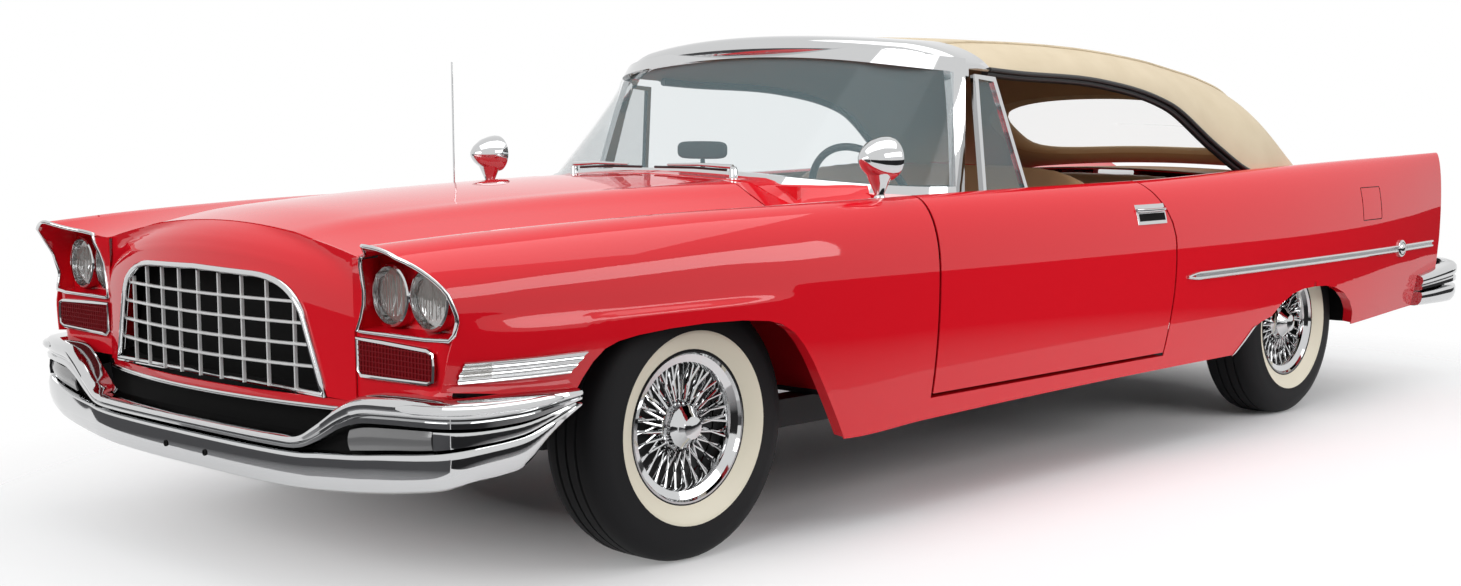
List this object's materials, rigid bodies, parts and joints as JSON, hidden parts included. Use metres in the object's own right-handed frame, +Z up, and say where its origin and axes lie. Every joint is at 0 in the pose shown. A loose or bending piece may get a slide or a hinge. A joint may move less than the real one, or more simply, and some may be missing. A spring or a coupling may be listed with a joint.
{
  "type": "two-door convertible car",
  "caption": "Long convertible car with a raised fabric top, tail fins, paired round headlamps, an egg-crate grille and bright wire-type wheels.",
  "frame": {"origin": "centre of the car's bounding box, on the ground", "axes": "+Y to the rear along the car, +X to its left side, +Z up"},
  "size_m": [2.0022, 5.5704, 1.4],
  "materials": {
    "body_paint": "gloss",
    "bright_metal": "polished",
    "tyre_rubber": "matte",
    "clear_glass": "gloss",
    "red_lens": "gloss",
    "top_fabric": "woven",
    "seat_leather": "satin",
    "black_plastic": "satin",
    "black_steel": "satin",
    "engine_iron": "rough",
    "exhaust_steel": "satin"
  },
  "bodies": {
    "car_body": {"front_fender_left": "body_paint", "front_fender_right": "body_paint", "rear_quarter_left": "body_paint", "rear_quarter_right": "body_paint", "sills": "body_paint", "rear_deck": "body_paint", "tail_panel": "body_paint", "nose_panel": "body_paint", "cowl": "body_paint", "front_bumper": "bright_metal", "rear_bumper": "bright_metal", "grille": "bright_metal", "headlamp_rims": "bright_metal", "inlet_frames": "bright_metal", "side_trim": "bright_metal", "windscreen_frame": "bright_metal", "fender_mirrors": "bright_metal", "aerial": "bright_metal", "wipers": "bright_metal", "windscreen_glass": "clear_glass", "rear_window": "clear_glass", "headlamps": "clear_glass", "tail_lamps": "red_lens", "soft_top": "top_fabric", "front_seat": "seat_leather", "rear_seat": "seat_leather", "dashboard": "seat_leather", "steering_column": "black_plastic", "inside_mirror": "black_plastic", "radiator": "black_plastic", "chassis_frame": "black_steel", "front_suspension": "black_steel", "rear_axle": "black_steel", "leaf_springs": "black_steel", "propeller_shaft": "black_steel", "floor_pan": "black_steel", "engine_and_gearbox": "engine_iron", "exhaust": "exhaust_steel"},
    "hood_panel": {"hood": "body_paint"},
    "trunk_panel": {"trunk_lid": "body_paint"},
    "left_door": {"door_left": "body_paint", "door_pull_left": "bright_metal", "vent_frame_left": "bright_metal", "vent_glass_left": "clear_glass"},
    "right_door": {"door_right": "body_paint", "door_pull_right": "bright_metal", "vent_frame_right": "bright_metal", "vent_glass_right": "clear_glass"},
    "steering_hand_wheel": {"steering_wheel": "black_plastic"},
    "left_knuckle": {"knuckle_left": "black_steel"},
    "right_knuckle": {"knuckle_right": "black_steel"},
    "front_left_wheel": {"wheel_front_left": "bright_metal", "tyre_front_left": "tyre_rubber"},
    "front_right_wheel": {"wheel_front_right": "bright_metal", "tyre_front_right": "tyre_rubber"},
    "rear_left_wheel": {"wheel_rear_left": "bright_metal", "tyre_rear_left": "tyre_rubber"},
    "rear_right_wheel": {"wheel_rear_right": "bright_metal", "tyre_rear_right": "tyre_rubber"}
  },
  "joints": [
    {"name": "left_door_swing", "type": "hinge", "parent": "car_body", "child": "left_door", "pos_m": [0.938, -1.036, 0.62], "axis": [0, 0, -1], "range_deg": [0, 62]},
    {"name": "right_door_swing", "type": "hinge", "parent": "car_body", "child": "right_door", "pos_m": [-0.938, -1.036, 0.62], "axis": [0, 0, 1], "range_deg": [0, 62]},
    {"name": "hood_lift", "type": "hinge", "parent": "car_body", "child": "hood_panel", "pos_m": [0, -1.178, 0.905], "axis": [-1, 0, 0], "range_deg": [0, 42]},
    {"name": "trunk_lift", "type": "hinge", "parent": "car_body", "child": "trunk_panel", "pos_m": [0, 1.745, 0.85], "axis": [1, 0, 0], "range_deg": [0, 55]},
    {"name": "left_steer", "type": "hinge", "parent": "car_body", "child": "left_knuckle", "pos_m": [0.672, -1.854, 0.345], "axis": [0, 0, 1], "range_deg": [-30, 30]},
    {"name": "right_steer", "type": "hinge", "parent": "car_body", "child": "right_knuckle", "pos_m": [-0.672, -1.854, 0.345], "axis": [0, 0, 1], "range_deg": [-30, 30]},
    {"name": "steering_wheel_turn", "type": "hinge", "parent": "car_body", "child": "steering_hand_wheel", "pos_m": [0.37, -0.62425, 0.83617], "axis": [0, 0.921, 0.3896], "range_deg": [-480, 480]},
    {"name": "front_left_spin", "type": "hinge", "parent": "left_knuckle", "child": "front_left_wheel", "pos_m": [0.777, -1.854, 0.345], "axis": [1, 0, 0], "continuous": true},
    {"name": "front_right_spin", "type": "hinge", "parent": "right_knuckle", "child": "front_right_wheel", "pos_m": [-0.777, -1.854, 0.345], "axis": [1, 0, 0], "continuous": true},
    {"name": "rear_left_spin", "type": "hinge", "parent": "car_body", "child": "rear_left_wheel", "pos_m": [0.762, 1.346, 0.345], "axis": [1, 0, 0], "continuous": true},
    {"name": "rear_right_spin", "type": "hinge", "parent": "car_body", "child": "rear_right_wheel", "pos_m": [-0.762, 1.346, 0.345], "axis": [1, 0, 0], "continuous": true}
  ],
  "couplings": [
    {"joint": "right_steer", "follows": "left_steer", "ratio": 1},
    {"joint": "steering_wheel_turn", "follows": "left_steer", "ratio": 16}
  ]
}
